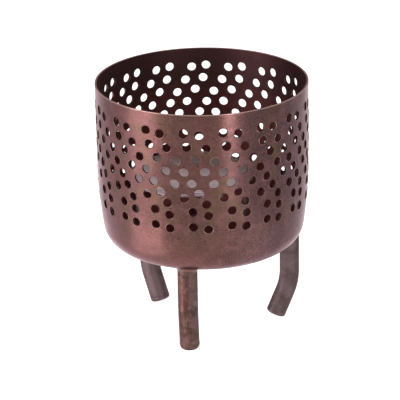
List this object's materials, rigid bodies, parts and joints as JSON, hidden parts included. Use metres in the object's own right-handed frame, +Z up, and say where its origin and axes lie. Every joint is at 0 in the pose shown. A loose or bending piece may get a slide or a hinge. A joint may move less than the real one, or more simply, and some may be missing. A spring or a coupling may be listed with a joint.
{
  "type": "fire pit with grate",
  "caption": "Round drawn-steel fire bowl with a pierced wall on three bent pipe legs, with a loose round bar grate standing inside it to hold the fire above the ash.",
  "frame": {"origin": "on the ground, under the bowl's axis", "axes": "+Z up along the bowl's axis, -Y towards the front leg's side, +X to the right seen from the front"},
  "size_m": [0.356, 0.356, 0.436],
  "materials": {
    "bowl_copper": "antique copper plating on drawn sheet steel, satin, darkened and mottled",
    "leg_copper": "antique copper plating on steel pipe, greyer than the bowl, with lengthwise streaks",
    "braze": "brazed fillet, plated over with the bowl, satin",
    "grate_steel": "bright bare steel round bar, satin"
  },
  "bodies": {
    "fire_bowl": {"bowl": "bowl_copper", "leg_front": "leg_copper", "leg_right": "leg_copper", "leg_left": "leg_copper", "leg_cap_front": "leg_copper", "leg_cap_right": "leg_copper", "leg_cap_left": "leg_copper", "leg_braze_front": "braze", "leg_braze_right": "braze", "leg_braze_left": "braze"},
    "grate": {"grate_ring": "grate_steel", "grate_bar_01": "grate_steel", "grate_bar_02": "grate_steel", "grate_bar_03": "grate_steel", "grate_bar_04": "grate_steel", "grate_bar_05": "grate_steel", "grate_bar_06": "grate_steel", "grate_bar_07": "grate_steel", "grate_bar_08": "grate_steel", "grate_bar_09": "grate_steel", "grate_bar_10": "grate_steel", "grate_bar_11": "grate_steel", "grate_bar_12": "grate_steel", "grate_bar_13": "grate_steel", "grate_bar_14": "grate_steel", "grate_bar_15": "grate_steel", "grate_bar_16": "grate_steel", "grate_bar_17": "grate_steel", "grate_bar_18": "grate_steel", "grate_bar_19": "grate_steel", "grate_bar_20": "grate_steel", "grate_bar_21": "grate_steel", "grate_bar_22": "grate_steel", "grate_bar_23": "grate_steel", "grate_bar_24": "grate_steel", "grate_brace_left": "grate_steel", "grate_brace_right": "grate_steel", "grate_foot_1": "grate_steel", "grate_foot_2": "grate_steel", "grate_foot_3": "grate_steel"}
  },
  "joints": [
    {"name": "grate_lift", "type": "slide", "parent": "fire_bowl", "child": "grate", "axis": [0, 0, 1], "range_m": [0, 0.3]}
  ]
}
